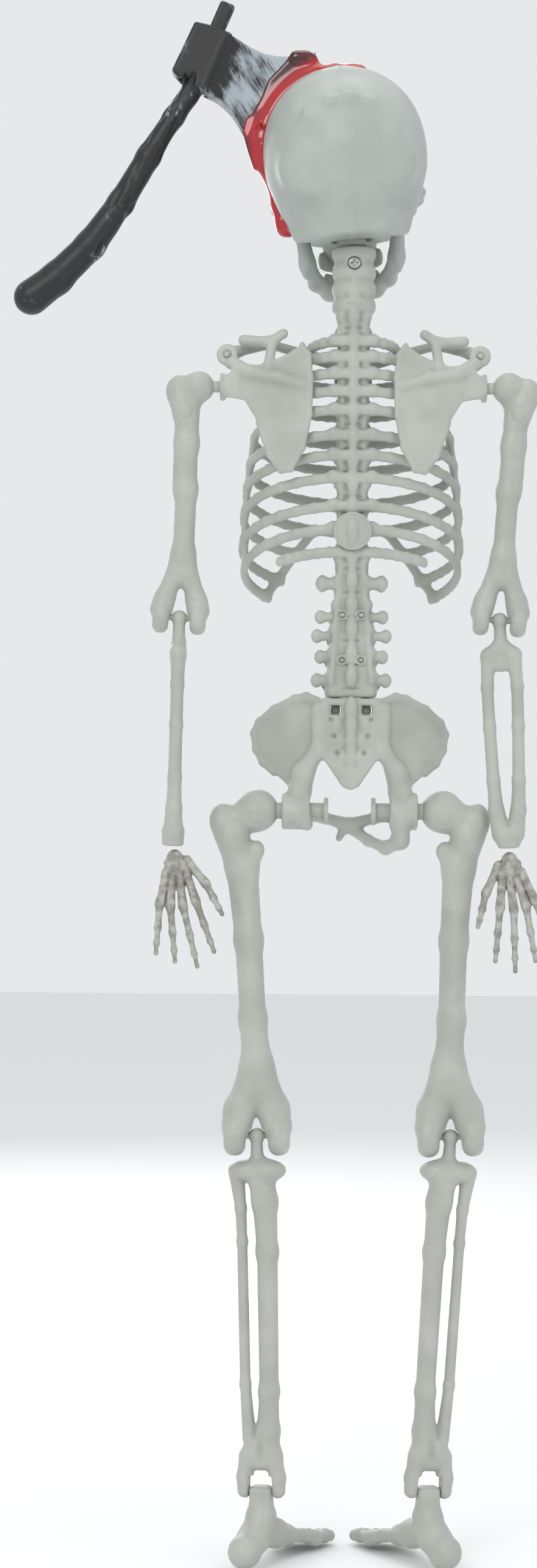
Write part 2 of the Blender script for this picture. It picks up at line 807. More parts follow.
def jaw_clay(step):
    clay = Clay((-46, -66, -14), (46, 6, 52), step)
    for s in (1, -1):
        clay.chain([
            ((s * 31.5, -12, 44.4), 3.0),
            ((s * 29.6, -14, 30), 3.8),
            ((s * 27, -18, 11), 4.4),
            ((s * 22, -36, 1), 4.6),
            ((s * 14, -50, -3), 5.2),
            ((s * 5, -57, -4), 6.0),
        ], 4)
        clay.add(egg((s * 28, -21, 15), (2.6, 8, 13)), 5)
        clay.add(rod((s * 29.2, -19, 26), (s * 30, -24, 37), 2.8, 1.8), 4)
        for k in range(6):
            a = math.radians(6 + 12 * k)
            p = (s * 16.5 * math.sin(a), -37 - 18.5 * math.cos(a), 3.4)
            clay.add(egg(p, (2.5, 2.6, 4.4)), 1.2)
        clay.add(drum(0, (s * 37, -12, 45), 5.6, 2.0), 0.6)
    clay.add(egg((0, -57, -5), (9, 5.5, 6.5)), 4)
    return clay


BLOOD_OUTLINE = [
    (-16.5, 119.5), (-14, 124.6), (-4, 125.6), (10, 126.3), (12.4, 133.4), (19, 135.6),
    (26.5, 135.4), (35, 127.5), (42.4, 121), (47.7, 110.5), (54, 101), (58, 98.3),
    (60.4, 90.5), (58, 78.2), (55.3, 67.4), (50.2, 66.6), (47.2, 62.7), (44.2, 50),
    (42.5, 40), (43, 33), (40.5, 27.4), (36.9, 26), (33, 28), (31.5, 34), (36, 52),
    (38, 80), (34, 104), (16, 118), (0, 120.5),
]


def blood_clay(step):
    clay = Clay((-22, -18, 18), (68, 16, 141), step)

    def thickness(x, z):
        out = np.sqrt((x / 48.3) ** 2 + ((z - 77) / 47) ** 2) - 1
        return 2.5 + 3.2 * np.exp(-((out / 0.1) ** 2))

    clay.add(plate(BLOOD_OUTLINE, -2.0, thickness, 1.8), 2)
    clay.chain([
        ((12, -2, 122.5), 4.2), ((2, -3, 123.6), 3.6), ((-9, -2, 122.6), 3.2),
        ((-14.5, -1, 121.6), 2.8),
    ], 3)
    clay.chain([((19, -2, 132.6), 3.6), ((24, -2, 133), 3.8)], 4)
    clay.chain([
        ((46, -3, 96), 5), ((50, -2, 86), 4), ((46.5, -2, 66), 3.6), ((42, -2, 46), 3.4),
        ((39.5, -2, 31), 4.6),
    ], 5)
    clay.chain([((38, 0, 31), 4.4), ((34.5, 6, 31), 2.6), ((32, 10, 32.6), 1.7)], 3)
    # threads that cling to the skull's edge
    clay.chain([((47, 10, 92), 1.0), ((49.2, 6, 95), 1.1), ((50.5, 2, 90), 1.2)], 1.5)
    clay.chain([((49.5, 5, 80), 0.8), ((48.4, 8, 74), 0.9), ((47.4, 5, 66), 0.9)], 1.5)
    clay.cut(egg(SKULL_EGG[0], [r - 1.2 for r in SKULL_EGG[1]]), 0.5)
    return clay


AXE_EYE = (77.4, -2, 140.5)
AXE_TILT = 27.9


def axe_matrix():
    """The axe's axes: x from the handle to the cutting edge, z up along the handle."""
    place = Matrix.Translation(Vector(AXE_EYE) * MM)
    turn = Matrix.Rotation(math.radians(-AXE_TILT), 4, "Y")
    return head_matrix() @ place @ turn @ side_matrix(-1)


def axe_clay(step):
    clay = Clay((-58, -16, -196), (72, 16, 38), step)
    reach, edge = 60, 80
    outline = [(6, -25), (6, 14)]
    outline += [
        (9 + t * (reach - 9), 14 + 12 * t ** 3 - 2.5 * math.sin(math.pi * t))
        for t in np.linspace(0.1, 0.9, 9)
    ]
    outline += [(reach + 7 * (1 - a * a), -a * edge / 2 - 14) for a in np.linspace(-1, 1, 13)]
    outline += [(9 + t * (reach - 14), -25 - 29 * t * t) for t in np.linspace(0.9, 0.1, 9)]

    def thickness(x, z):
        return np.clip(7.5 - (x - 9) * 0.27, 1.7, 8.2) * np.clip((72 - x) / 16, 0.35, 1)

    clay.add(plate([tuple(p) for p in outline], 0.0, thickness, 0.5), 1)
    head = [(-14.8, -20), (-13.6, 12.6), (-5, 14.2), (9.4, 14.6), (9.4, -24.4), (-6, -24)]
    clay.add(plate(head, 0.0, 8.7, 2.0), 1.5)
    clay.add(block((-4.6, -4.2, 10), (4.6, 4.2, 31.5), 1.4), 1)
    beads = [
        ((0, 0, -20), 5.8), ((0, 0, -28), 6.3), ((-3, 0, -44), 6.2),
        ((-7.5, 0, -72), 7.2), ((-11.5, 0, -104), 8), ((-18.5, 0, -135), 9),
        ((-29, 0, -161), 9.8), ((-38.4, 0, -177.5), 10.8),
    ]
    clay.chain(beads, 3)
    # shallow facets and chips along the handle
    rng = np.random.default_rng(7)
    for _ in range(34):
        t = rng.uniform(0, len(beads) - 1.001)
        i = int(t)
        a, b = beads[i], beads[i + 1]
        p = [a[0][k] + (b[0][k] - a[0][k]) * (t - i) for k in range(3)]
        r = a[1] + (b[1] - a[1]) * (t - i)
        turn = rng.uniform(0, 2 * math.pi)
        out = r + 2.1
        clay.cut(
            egg((p[0] + out * math.cos(turn), p[1] + out * math.sin(turn), p[2]),
                (2.6, 2.6, rng.uniform(6, 14))), 1.2,
        )
    return clay


# ---- spine, ribs, shoulder blades and hip bone ----
RIB_Z = [-16.5, -26, -36, -46.5, -57.5, -72.5, -84.5, -98, -115, -128.5, -142.5]
RIB_SHARE = [0.42, 0.62, 0.75, 0.84, 0.9, 0.94, 0.97, 0.99, 1, 0.98, 0.92]
RIB_FRONT = [0.5, 0.6, 0.7, 0.78, 0.85, 0.91, 0.96, 1, 1, 0.97, 0.9]
RIB_TILT = [14, 18, 22, 25, 27, 29, 31, 32, 33, 34, 30]
RIB_BACK, CAGE_WIDTH, CAGE_DEPTH = 12, 136, 76
PROCESSES = ((-162.5, 21, 4), (-182.5, 22, 3), (-194, 24, 3), (-206.5, 22, 3), (-220.5, 24, 3.2))


def rib_half_depth(i):
    return (RIB_BACK + (CAGE_DEPTH - RIB_BACK) * RIB_FRONT[i]) / 2


def side_angle(i):
    half = rib_half_depth(i)
    return math.degrees(math.acos((-14 - RIB_BACK + half) / half))


def margin_angle(i):
    return 160 - 11 * (i - 6)


def rib_point(i, angle, up=0.0):
    a, half = math.radians(angle), rib_half_depth(i)
    x = (CAGE_WIDTH / 2 * RIB_SHARE[i] - 1.7) * math.sin(a)
    y = RIB_BACK - half + (half - 1.7) * math.cos(a)
    return (x, y, RIB_Z[i] + (y - RIB_BACK) * math.tan(math.radians(RIB_TILT[i])) + up)


def add_rib(clay, i, first, last, bends=15):
    """A rib is a flat band: two thin bars side by side with a shallow groove between."""
    angles = np.linspace(first, last, bends)
    for up in (-1.45, 1.45):
        clay.chain([(rib_point(i, a, up), 1.75) for a in angles], 1.6)
    clay.chain([(rib_point(i, a), 1.5) for a in angles], 1.6)


def column_clay(step, low, high):
    clay = Clay(low, high, step)
    clay.add(drum(2, (0, 0, 19.5), 19.4, 11.9, 1.2), 1)
    for z in (4.5, 14.5, 24.5, 36):
        clay.add(drum(2, (0, 0, z), 3.0, 13.1, 1.6), 2.5)
    clay.add(rod((0, 0, -150), (0, 0, -4), 9.2, 10), 4)
    clay.add(rod((0, 0, -226), (0, 0, -152), 16, 9.4), 4)
    clay.cut(block((-40, 9.2, -260), (40, 40, -9)), 1.5)
    return clay


def spine_back_clay(step):
    clay = column_clay(step, (-70, -17, -234), (70, 17, 42))
    clay.keep(lambda x, y, z: SEAM - y + 0 * (x + z))
    clay.cut(block((-30, -30, -300), (30, 30, -230.6)), 0.4)
    clay.add(rod((0, 9.4, 21), (0, 9.4, -223), 2.9), 2)
    for _, s in SIDES:
        clay.add(rod((s * 6.6, 7.2, 18), (s * 6.8, 7.2, -150), 1.5), 1.5)
        clay.add(rod((s * 6.8, 7.2, -150), (s * 12, 9.6, -222), 1.5), 1.5)
    for k in range(17):
        z = 12 - 14.4 * k
        clay.add(egg((0, 11.4, z), (3.5, 2.3, 4.4)), 2)
        clay.both(egg((7.4 + max(-z - 150, 0) * 0.08, 5, z), (3.4, 5, 3.6)), 2.5)
        clay.press(
            (-4, 8, z - 9), (4, 16, z - 5.4),
            lambda x, y, up, c=z - 7.2: np.exp(-(((up - c) / 0.7) ** 2)) + 0 * (x + y),
        )
    for i in range(11):
        a = 46 if i == 10 else side_angle(i)
        add_rib(clay, i, -a, a)
    for z, x, r in PROCESSES:
        clay.add(rod((3 - x, r + 0.4, z), (x - 3, r + 0.4, z), r * 0.92), 2.5)
        clay.both(egg((x - 3.2, r + 0.4, z), (3.2, r, r + 1.4)), 2)
    # the knobs where the ribs meet the column
    for i in range(10):
        clay.both(egg((11.5, 9.5, RIB_Z[i]), (3.6, 3.2, 3.4)), 2.5)
    clay.cut(drum(1, (0, 13.4, 29), 3.8, 3.95, 0.2), 0.4)
    clay.cut(drum(2, (0, 0, 38), 5, 5.7, 0.2), 0.4)
    for x in (-5.7, 5.7):
        for z in (-181.5, -208.5):
            clay.add(drum(1, (x, 9, z), 2.6, 3.1, 0.5), 0.8)
            clay.cut(drum(1, (x, 12, z), 2.4, 2.05, 0.2), 0.3)
    return clay


def spine_front_clay(step):
    clay = column_clay(step, (-24, -24, -246), (24, 14, 42))
    for i in range(10):
        clay.add(drum(2, (0, -2, -13.5 - i * 14.5), 4.5, 11.4, 2), 2)
    for i, (z, _, _) in enumerate(PROCESSES[1:]):
        clay.add(drum(2, (0, -1, z - 0.5), 4.5, 13.4 + 1.5 * i, 2), 2)
    clay.keep(lambda x, y, z: y + SEAM + 0 * (x + z))
    clay.cut(block((-30, -30, -300), (30, 30, -230.8)), 0.4)
    clay.cut(drum(2, (0, 0, 38), 5, 5.7, 0.2), 0.4)
    for x in (-5.7, 5.7):
        for z, r in ((-181.5, 1.9), (-208.5, 1.4)):
            clay.add(rod((x, -3, z), (x, 9.6, z), r, r * 0.9), 0.4)
            clay.add(rod((x - 0.9, 11, z), (x + 0.9, 11, z), r * 0.62), 0.5)
    for x in (-9.3, 9.3):
        clay.add(block((x - 2.9, -5.9, -241.8), (x + 2.9, -2.1, -228), 0.7), 0.5)
        clay.add(block((x - 2.9, -3, -240.9), (x + 2.9, 4.8, -236.1), 0.7), 0.5)
    return clay


def chest_clay(step):
    clay = Clay((-84, -68, -188), (84, 18, -8), step)
    for i in range(10):
        last = 180 if i < 7 else margin_angle(i) + 3
        for _, s in SIDES:
            add_rib(clay, i, s * (side_angle(i) + 0.6), s * last, 12)
    top, end = rib_point(0, 180), rib_point(5, 180)
    clay.add(block((-7.6, top[1] - 2, top[2] - 6), (7.6, top[1] + 2.6, top[2] + 3), 2), 3)
    for t in np.linspace(0, 1, 9):
        p = [top[k] + (end[k] - top[k]) * t for k in range(3)]
        clay.add(egg((0, p[1], p[2] - 3), (8.4 - 2 * t, 3.2, 7)), 4)
    clay.add(rod((0, end[1], end[2] - 4), (0, end[1] + 1, end[2] - 16), 4.6, 2.6), 3)
    for _, s in SIDES:
        clay.chain(
            [((s * 7, -29, -27), 4.4), ((s * 26, -30, -22), 3.3), ((s * 50, -14, -17), 2.9),
             ((s * 69.8, -1, -23), 3.3), ((s * 75.4, 0.4, -25.6), 3.9)], 3)
        clay.add(rod((s * 75.8, 0, -26), (s * 75.8, 8.2, -26), 2.85, 2.5), 1)
        # rim along the rib ends at the side, and the lower margin
        clay.chain([(rib_point(i, s * (side_angle(i) + 6.6)), 2.1) for i in range(4, 10)], 2)
        clay.chain([(rib_point(i, s * margin_angle(i)), 2.9) for i in range(6, 10)], 2.5)
    tie = rib_point(6, 180)[1]
    clay.add(rod((0, tie, TIE_Z), (0, -16, TIE_Z), 3.4), 1)
    clay.add(rod((0, -17, TIE_Z), (0, 11, TIE_Z), 2.4), 0.5)
    return clay


def shoulder_blade_clay(step):
    outline = [
        (31, -20), (27, -26), (25.5, -40), (26, -62), (30, -82), (37, -95), (43, -96), (50, -87),
        (57, -67), (65, -54), (74, -52), (78, -44), (72, -34), (60, -33), (50, -31), (40, -26),
    ]
    clay = Clay((22, 2, -100), (86, 20, -8), step)
    clay.add(plate(outline, 13.9, 1.25, 0.8), 1)
    clay.chain([((p[0], 13.7, p[1]), 1.5) for p in outline[:9]], 1.5)
    clay.chain([
        ((72.8, 10, -31), 4.2), ((62, 14.6, -37), 3.3), ((44, 15, -40), 3.1),
        ((30, 14.6, -44), 2.3),
    ], 2.5)
    clay.chain([((51, 13.6, -33), 3), ((49, 10.6, -20), 3)], 2)
    clay.chain([
        ((42.4, 9.6, -13.4), 3.1), ((47, 9.4, -16.4), 2.6), ((52, 8.6, -18), 2.9),
        ((66, 6.6, -17), 3.3),
    ], 2.5)
    clay.add(drum(1, (75.8, 7.8, -26), 2.6, 6.4, 1.0), 2)
    clay.add(drum(1, (75.8, 9.4, -26), 1.3, 3.6, 0.6), 0.5)
    clay.cut(drum(1, (75.8, 10.6, -26), 1.2, 2.6, 0.3), 0.4)
    clay.add(rod((75.8, 8, -26), (75.8, 9.6, -26), 1.9), 0.3)
    clay.add(drum(0, (78.3, 6, -45), 1.7, 8.4, 0.8), 1)
    clay.add(block((68.2, 8.2, -51.8), (78, 14.8, -38.2), 1.6), 2)
    clay.cut(drum(0, (80, 6, -45), 9, 3.6, 0.2), 0.3)
    return clay


def hip_bone_clay(step):
    clay = Clay((-66, -40, -328), (66, 20, -226), step)
    sacrum = [(-17, -231.4), (17, -231.4), (18.5, -255), (16, -268), (5, -284), (0, -286),
              (-5, -284), (-16, -268), (-18.5, -255)]
    clay.add(plate(sacrum, 8, 4.4, 2), 2)
    clay.chain([
        ((0, 12.3, -236), 3.4), ((0, 13, -248), 3), ((0, 12.3, -262), 2.6),
        ((0, 10.5, -275), 3.6),
    ], 2)
    clay.add(egg((0, 14, -238), (3.6, 2.6, 8)), 2)
    for k, z in enumerate((-247, -257, -267)):
        clay.add(egg((0, 14.2 - 0.6 * k, z), (3.4, 2.4, 3.6)), 1.5)
        clay.both(egg((8.6 - 1.6 * k, 11.6, z), (2.9, 2.6, 3.8)), 2)
        for s in (1, -1):
            clay.cut(egg((s * (12.2 - 2 * k), 13.4, z + 3), (1.7, 2.6, 1.7)), 1)
    clay.add(egg((0, 10, -279), (5.4, 3.6, 6)), 3)
    clay.both(egg((6, 10.6, -273), (3.6, 2.6, 4)), 3)
    reach = (121 / 2 - 18) / math.cos(math.radians(WING_TURN))
    wing = [(-3, -232), (6, -231.4), (14, -228.8), (22, -230), (0.7 * reach, -236),
            (0.92 * reach, -244), (reach - 0.4, -252), (0.96 * reach, -262), (0.86 * reach, -270),
            (0.7 * reach, -276), (26, -284), (14, -284), (8, -272), (2, -264), (-3, -262)]
    place = Matrix.Translation((17, 10, 0)) @ Matrix.Rotation(math.radians(-WING_TURN), 4, "Z")

    def wing_half(x, z):
        return 1.5 + 0.5 * np.clip(abs(x - 20) / 20, 0, 1)

    wing_form = turned(plate(wing, -2, wing_half, 1.2), place)
    rim = [place @ Vector((x, -2, z)) for x, z in wing[1:10]]
    for _, s in SIDES:
        clay.add(wing_form if s == 1 else mirrored(wing_form), 2)
        clay.chain([((s * p.x, p.y, p.z - (1.2 if p.z > -250 else 0)), 2.3) for p in rim], 2)
        clay.chain([
            ((s * 20, 10, -238), 3.8), ((s * 19, 9, -262), 3.8), ((s * 28, 2, -276), 5.8),
            ((s * 30, -2, -286), 7.3),
        ], 4)
        clay.add(drum(0, (s * 32.5, -6, -299), 8.4, 11.3, 1.6), 3)
        clay.chain([
            ((s * 29, -12, -301), 4.8), ((s * 16, -26, -303), 3.2),
            ((s * 2, -31, -307), 4.2),
        ], 3)
    clay.chain([((-31, 1, -303), 6.2), ((-30.5, -1, -316.5), 5.1), ((-22, -10.5, -321), 3.9),
                ((-12, -22, -317), 3.1), ((-2.4, -31, -310), 3.8)], 3)
    clay.chain([((31, 1, -301), 6.2), ((27, 1, -307), 4.8)], 3)
    clay.add(rod((2, -31, -308), (5.8, -29, -315.6), 3.2, 2.2), 2)
    for k in range(5):
        clay.cut(egg((26 + 1.6 * k, 1 + (-1) ** k, -312 + 0.6 * k), (1.8, 3, 1.6)), 0.8)
    clay.cut(block((-14, -20, -249), (14, 3.2, -230)), 0.4)
    for x in (-9.3, 9.3):
        clay.cut(block((x - 3.4, 0, -241.4), (x + 3.4, 30, -235.6), 0.6), 0.4)
    clay.cut(drum(0, (0, -6, -299), 60, 5.2, 0.1), 0.3)
    clay.cut(drum(0, (0, -6, -299), 23.8, 8.8, 0.1), 0.4)
    return clay


# ---- limbs, each along z below its upper joint ----
def slot_cut(clay, z, r):
    """The slot between the two knuckles at a bone's lower end, and the pins' bores."""
    clay.cut(block((-5.3, -30, z - r - 8), (5.3, 30, z)), 0.5)
    clay.cut(drum(1, (0, 0, z), 30, 5.3, 0.1), 0.5)
    clay.cut(drum(0, (0, 0, z), 9.3, PIN_BORE, 0.1), 0.3)


def upper_arm_clay(step):
    clay = Clay((-22, -16, -154), (24, 16, 14), step)
    clay.add(egg((-3, 0, 0), (9.8, 10.2, 9.6)), 1)
    clay.add(egg((8.3, 0, -3), (8.2, 9.2, 9.6)), 3)
    clay.add(egg((6, 4, -12), (6, 6, 9)), 5)
    clay.chain([
        ((3, 0, -12), 8), ((2, 0, -34), 7), ((0.6, 0, -62), 6.5), ((0, 0, -100), 6.5),
        ((0, 0, -112), 7.2),
    ], 5)
    clay.add(egg((4.6, 1, -50), (3.6, 4, 13)), 5)
    for _, s in SIDES:
        clay.chain([
            ((s * 1.5, 0, -104), 5.6), ((s * 9.6, 0, -128), 5.8), ((s * 11, 0, -134), 7),
        ], 4)
        clay.add(drum(0, (s * 11.2, 0, ELBOW_Z), 4.8, 9.7, 4.4), 2)
    clay.cut(egg((0, 11, -124), (6, 4.4, 7)), 3)
    clay.cut(egg((0, -11, -124), (6, 4.4, 7)), 3)
    slot_cut(clay, ELBOW_Z, 9.8)
    clay.ring((3.5, 8, -16), 4.4)
    return clay


def thigh_clay(step):
    clay = Clay((-26, -17, -213), (34, 17, 16), step)
    clay.add(egg((0, 0, 0), (12.9, 12.9, 12.9)), 1)
    clay.chain([((4, 0, -3), 9.4), ((19, 0, -6), 8)], 4)
    clay.add(egg((21.4, 0, -6), (7, 9.4, 10.4)), 4)
    clay.add(egg((15, 3, -17), (7, 8, 10)), 5)
    clay.add(egg((0, 3, -24), (4.6, 5, 6)), 4)
    clay.chain([
        ((15, 0, -16), 9.6), ((9, 0, -34), 9.6), ((5, 0, -78), 8.3), ((2.4, 0, -126), 8),
        ((0, 0, -152), 9), ((0, 0, -166), 10.4),
    ], 5)
    clay.add(rod((6, 6.4, -60), (3, 6, -120), 2.4, 2), 4)
    for _, s in SIDES:
        clay.chain([
            ((s * 2, 0, -158), 8.6), ((s * 10.4, 0, -180), 8.8), ((s * 12, 0, -190), 9.4),
        ], 5)
        clay.add(drum(0, (s * 13.4, 0, KNEE_Z), 6.6, 12.1, 6), 2.5)
    clay.cut(egg((0, 14.6, -178), (7, 5, 9)), 3)
    clay.cut(egg((0, -14.6, -178), (7, 5, 9)), 3)
    slot_cut(clay, KNEE_Z, 12.2)
    clay.ring((0, 12.5, -3), 5.6)
    clay.ring((14, 9, -17), 3.4, 0.35)
    return clay


def forearm_clay(step, bend, edge_on):
    clay = Clay((-18, -18, -142), (18, 18, 8), step)
    turn = Matrix.Rotation(math.radians(90), 4, "Z")
    clay.add(egg((0, 0, 0), (4.75, 4.75, 4.75)), 0.5)
    c, s = math.cos(bend), math.sin(bend)
    clay.add(rod((-7.1 * c, 0, 7.1 * s), (7.1 * c, 0, -7.1 * s), 1.85), 0.3)
    clay.add(rod((0, 0, 0), (0, 0, -17), 3.3, 4.3), 1.5)
    beads = [
        (2, -16, 4.3), (7.8, -21, 4.5), (9, -40, 3.7), (8.6, -64, 3.7), (7.6, -96, 3.9),
        (6.6, -114, 4.6), (4, -128, 6),
    ]
    forms = []
    for sign in (1, -1):
        for (x1, z1, r1), (x2, z2, r2) in zip(beads, beads[1:]):
            forms.append(rod((sign * x1, 0, z1), (sign * x2, 0, z2), r1, r2))
    for form in forms:
        clay.add(turned(form, turn) if edge_on else form, 2)
    clay.add(egg((0, 0, -24), (7, 5, 7) if not edge_on else (5, 7, 7)), 3)
    clay.add(drum(2, (0, 0, -131), 5.8, 6.6, 1.6), 3)
    clay.cut(drum(2, (0, 0, -135), 10, 2.6, 0.1), 0.2)
    clay.ring((0, 0, -24), 3.6, 0.35, reach=12)
    clay.ring((0, 0, -123), 3.6, 0.35, reach=12)
    return clay


FINGERS = [
    ((0.32, -0.82), (0.20, -0.42), (0.09, -0.18)),
    ((0.18, -0.92), (0.12, -0.46), (0.04, -0.18)),
    ((0.01, -1.00), (0.02, -0.48), (-0.01, -0.18)),
    ((-0.15, -0.91), (-0.09, -0.46), (-0.06, -0.18)),
    ((-0.28, -0.62), (-0.20, -0.34), (-0.09, -0.12)),
]


def hand_clay(step):
    clay = Clay((-26, -8, -78), (30, 8, 2), step)
    clay.add(rod((0, 0, -6), (0, 0, -10), 5, 6.6), 2)
    for k in range(7):
        a = k * 2.4
        p = (4.6 * math.cos(a), 2.2 * math.sin(a * 1.7), -8 - 0.8 * k)
        clay.add(egg(p, (2.7, 3.4, 2.5)), 1)
    for tip, knuckle, root in FINGERS:
        tip, knuckle, root = (np.array([q[0] * 74, y, q[1] * 74])
                              for q, y in ((tip, 1.0), (knuckle, -1.0), (root, 0.0)))
        way = tip - knuckle
        clay.chain([(root, 3.1), ((root + knuckle) / 2, 2.3), (knuckle, 3.0)], 1.2)
        joints = [knuckle, knuckle + way * 0.45, knuckle + way * 0.76, tip - way * 0.04]
        for n, (a, b) in enumerate(zip(joints, joints[1:])):
            r = 2.7 - 0.35 * n
            mid = a + (b - a) * 0.5
            clay.chain([(a, r), (mid, r - 0.8), (b, r - 0.45)], 0.8)
            clay.add(egg(a + (b - a) * 0.06, (r, r, r * 0.9)), 0.6)
    clay.keep(lambda x, y, z: z + 0.6 + 0 * (x + y), 0.3)
    return clay


def shin_clay(step, bend):
    """In the shin's own turned axes, so that the seam lies at y = 0."""
    clay = Clay((-22, -16, -224), (22, 16, 8), step)
    c, s = math.cos(bend), math.sin(bend)
    unturn = Matrix.Rotation(math.radians(SHIN_TURN), 4, "Z")
    clay.add(egg((0, 0, 0), (4.85, 4.85, 4.85)), 0.5)
    clay.add(turned(rod((-7.1 * c, 0, 7.1 * s), (7.1 * c, 0, -7.1 * s), 1.85), unturn), 0.3)
    clay.add(rod((0, 0, 0), (0, 0, -18), 3.3, 4.3), 1.5)
    clay.add(egg((-7, 0, -21), (10.6, 9.8, 6.4)), 3)
    clay.add(egg((7, 0, -21), (10.8, 9.6, 6.4)), 3)
    clay.chain([
        ((-2, 0, -22), 8.4), ((-4.5, 0, -40), 7.4), ((-5.6, 0, -70), 6.3),
        ((-5.6, 0, -154), 5.8), ((-4.6, 0, -178), 6.8), ((-3.6, 0, -188), 7.8),
    ], 4)
    clay.chain([
        ((12.5, 0, -25), 4.6), ((10.4, 0, -44), 3.4), ((9.8, 0, -64), 3.2),
        ((9, 0, -150), 3.3), ((7, 0, -182), 4.2),
    ], 2.2)
    clay.add(egg((0, 0, -192), (12, 7, 10)), 4)
    for sign in (1, -1):
        clay.chain([
            ((sign * 8.4, 0, -194), 5.2), ((sign * 10.0, 0, -206), 4.7),
            ((sign * 10.2, 0, -214), 4.6),
        ], 3)
    clay.cut(egg((0, 11, -188), (3.6, 6, 12)), 3)
    clay.cut(block((-7.3, -20, -234), (7.3, 20, -205)), 0.6)
    clay.cut(drum(0, (0, 0, -214), 11.3, 2.0, 0.1), 0.3)
    clay.ring((-5.6, 6, -58), 3.2, 0.3)
    clay.ring((0, 8, -22), 4.2, 0.35)
    return clay


def foot_clay(step):
    """In the foot's axes: toes towards -y, the big toe at -x."""
    sole, reach = -43, 80
    clay = Clay((-26, -84, -46), (26, 34, 10), step)
    to_fork = Matrix.Rotation(math.radians(FOOT_TURN - SHIN_TURN), 4, "Z")
    clay.add(turned(rod((-10.6, 0, 0), (10.6, 0, 0), 1.85), to_fork), 0.2)
    clay.add(rod((0, 0, -3), (0, 0, -14), 5.6, 8.2), 1)
    clay.add(turned(block((-6.7, -6.2, -10), (6.7, 6.2, 3), 3), to_fork), 1.5)
    clay.chain([((0, 0, -16), 8.2), ((0, 9, sole + 16), 8.8), ((0, 19.6, sole + 10.4), 9.8)], 5)
    clay.add(egg((0, 22, sole + 9), (8.4, 9, 8.6)), 4)
    clay.chain([
        ((0, 2, sole + 17), 8.4), ((0, -16, sole + 14.6), 8.4), ((-1, -30, sole + 11), 7),
    ], 5)
    clay.cut(egg((2, -2, sole - 1), (9, 16, 6)), 5)
    for t in range(5):
        x = -9 + 5.6 * t
        tip = -reach + (3, 0.5, 2.5, 6, 11)[t]
        r = 4.3 if t == 0 else 3.1
        clay.chain([
            ((x * 0.5, -24, sole + 12), 4.2), ((x * 0.8, tip / 2 - 2, sole + 9.6), r - 0.3),
            ((x, tip + 24, sole + 5.8), r + 0.8),
        ], 1.4)
        clay.chain([((x, tip + 24, sole + 5.8), r + 0.5), ((x, tip + 17, sole + 5.2), r - 0.9),
                    ((x, tip + 11, sole + 5), r + 0.3), ((x, tip + 7, sole + 4.4), r - 0.8),
                    ((x, tip + r + 0.4, sole + 3.9), r - 0.4)], 0.9)
    clay.cut(block((-60, -120, sole - 20), (60, 60, sole + 0.1)), 1)
    return clay


# ---- fasteners ----
def screw_clay(step):
    clay = Clay((-5.5, -9, 24), (5.5, 14, 34), step)
    clay.add(drum(1, (0, 1, 29), 8.4, 1.95, 0.3), 0.2)
    clay.add(drum(1, (0, 10.9, 29), 1.3, 3.7, 0.9), 0.3)
    clay.cut(block((-2.2, 10.9, 28.55), (2.2, 14, 29.45)), 0.2)
    clay.cut(block((-0.45, 10.9, 26.8), (0.45, 14, 31.2)), 0.2)
    return clay


def button_clay(step):
    clay = Clay((-13, 13, -145), (13, 19.5, -118), step)
    clay.add(drum(1, (0, 15.2, TIE_Z), 1.1, 11.45, 0.7), 0.5)
    clay.add(egg((0, 15.9, TIE_Z), (3.3, 2.2, 8.4)), 1)
    clay.ring((0, 16.3, TIE_Z), 9.8, 0.35, 0.5, 3)
    clay.cut(drum(1, (0, 13.6, TIE_Z), 1.6, 2.55, 0.1), 0.2)
    return clay


# ---- settings and operators ----
def colour_setting(name, description, default):
    return bpy.props.FloatVectorProperty(
        name=name, description=description, default=default, min=0, max=1, subtype="COLOR"
    )


class SkeletonLooks(bpy.types.PropertyGroup):
    """Colours and fineness of the figure."""

    grain: bpy.props.FloatProperty(
        name="Grain", description="Size of the grid that the bones are shaped on",
        default=0.00085, min=0.0004, max=0.004, unit="LENGTH", precision=5,
    )
    bone: colour_setting("Bone", "Plastic of the bones", (0.40, 0.41, 0.37))
    bone_cloud: colour_setting("Bone clouds", "Paler clouds in the bones", (0.46, 0.465, 0.425))
    bone_shade: colour_setting("Bone shade", "Shade in the bones' hollows", (0.13, 0.125, 0.09))
    skull: colour_setting("Skull", "Plastic of the skull", (0.38, 0.415, 0.39))
    skull_cloud: colour_setting("Skull clouds", "Paler clouds in the skull", (0.43, 0.455, 0.43))
    wash: colour_setting("Hand wash", "Brown wash in the hands' hollows", (0.09, 0.06, 0.035))
    axe_black: colour_setting("Axe black", "Black under the silver", (0.012, 0.012, 0.013))
    axe_silver: colour_setting("Axe silver", "Silver brushed on the axe", (0.38, 0.43, 0.47))
    blood: colour_setting("Blood", "Thin, bright blood", (0.42, 0.006, 0.009))
    blood_deep: colour_setting("Deep blood", "Thick, dark blood", (0.045, 0.001, 0.003))
    light: bpy.props.FloatProperty(
        name="Light", description="Strength of the studio lights", default=1.0, min=0, max=10,
    )


def grain(share=1.0):
    return looks().grain / MM * share * 1


def require(ready, what):
    if not ready:
        raise RuntimeError("could not build " + what)


